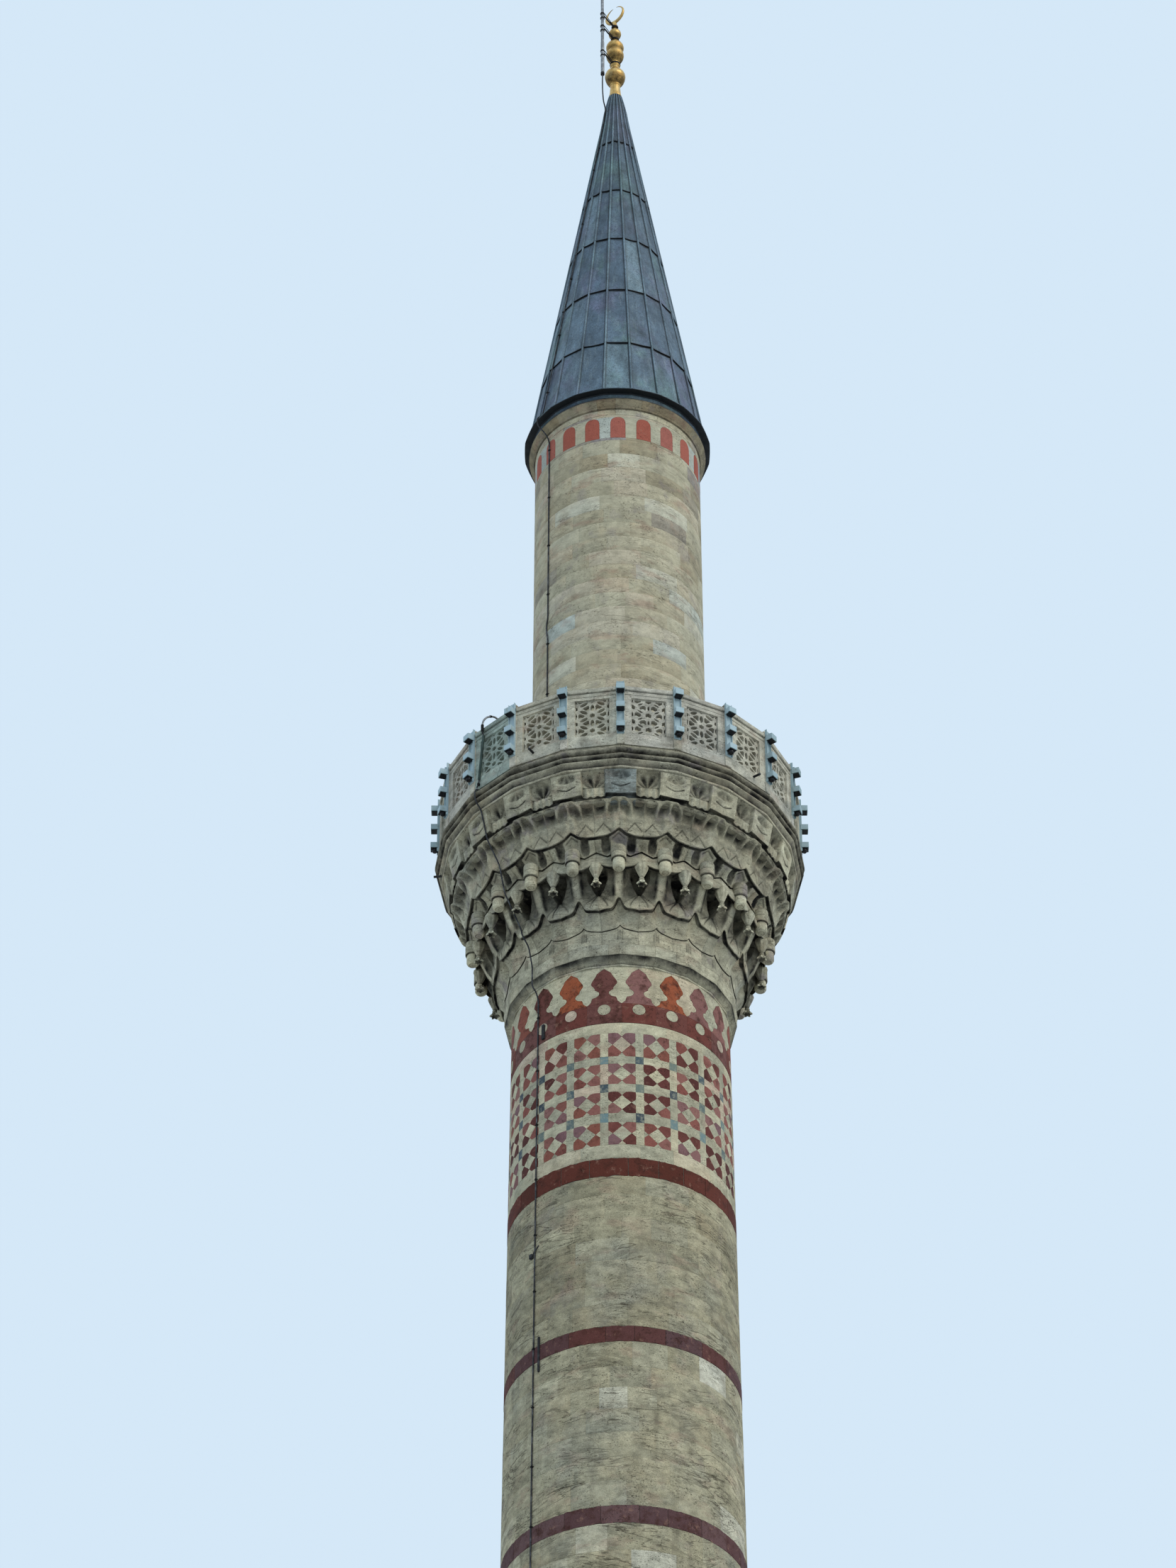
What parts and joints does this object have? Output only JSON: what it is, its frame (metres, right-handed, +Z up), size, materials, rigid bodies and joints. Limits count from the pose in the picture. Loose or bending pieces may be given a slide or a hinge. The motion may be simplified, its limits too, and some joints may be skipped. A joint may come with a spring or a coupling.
{
  "type": "stone minaret, 1:2 scale model",
  "caption": "Tall round stone minaret with a square hollow base, red stone bands, a balcony on carved stalactite corbels with a pierced parapet, and a lead spire with a gilt finial.",
  "frame": {"origin": "centre of the plinth's underside, on the ground", "axes": "+Z up along the tower, -Y towards the front, +X to the right seen from the front"},
  "size_m": [3, 3, 35.3],
  "materials": {
    "ashlar": "weathered cream-grey limestone ashlar",
    "carved_stone": "carved limestone, darkened in the hollows",
    "red_stone": "dark red dressed stone",
    "inlay": "cream stone inlaid with red pieces",
    "lead": "dull blue-grey lead sheet",
    "gilding": "gilt copper, partly dulled",
    "galvanised": "galvanised steel",
    "cable": "dark sheathed cable"
  },
  "bodies": {
    "root": {"base_plinth": "ashlar", "base_wall_back": "ashlar", "base_wall_left": "ashlar", "base_wall_right": "ashlar", "base_jamb_left": "ashlar", "base_jamb_right": "ashlar", "base_wall_over_door": "ashlar", "base_transition": "ashlar", "shaft_foot_ring": "ashlar", "shaft_lower": "ashlar", "red_band_third": "red_stone", "shaft_stage_second": "ashlar", "red_band_second": "red_stone", "shaft_stage_first": "ashlar", "red_band_first": "red_stone", "checker_band": "inlay", "palmette_band": "inlay", "neck_moulding": "carved_stone", "corbel_cove": "carved_stone", "corbel_niches": "carved_stone", "corbel_pendants": "carved_stone", "corbel_shells": "carved_stone", "corbel_frieze": "carved_stone", "balcony_cornice": "carved_stone", "balcony_floor": "carved_stone", "parapet_bay_01": "carved_stone", "parapet_bay_02": "carved_stone", "parapet_bay_03": "carved_stone", "parapet_bay_04": "carved_stone", "parapet_bay_05": "carved_stone", "parapet_bay_06": "carved_stone", "parapet_bay_07": "carved_stone", "parapet_bay_08": "carved_stone", "parapet_bay_09": "carved_stone", "parapet_bay_10": "carved_stone", "parapet_bay_11": "carved_stone", "parapet_bay_12": "carved_stone", "parapet_bay_13": "carved_stone", "parapet_bay_14": "carved_stone", "parapet_bay_15": "carved_stone", "parapet_bay_16": "carved_stone", "parapet_bay_17": "carved_stone", "parapet_bay_18": "carved_stone", "parapet_bay_19": "carved_stone", "parapet_bay_20": "carved_stone", "upper_shaft_front": "ashlar", "upper_shaft_jamb_left": "ashlar", "upper_shaft_jamb_right": "ashlar", "upper_shaft_body": "ashlar", "arch_ring": "inlay", "eave_cornice": "carved_stone", "spire_eave": "lead", "spire": "lead", "finial": "gilding", "lightning_rod": "galvanised", "upper_conductor": "cable", "lower_conductor": "cable"}
  },
  "joints": []
}
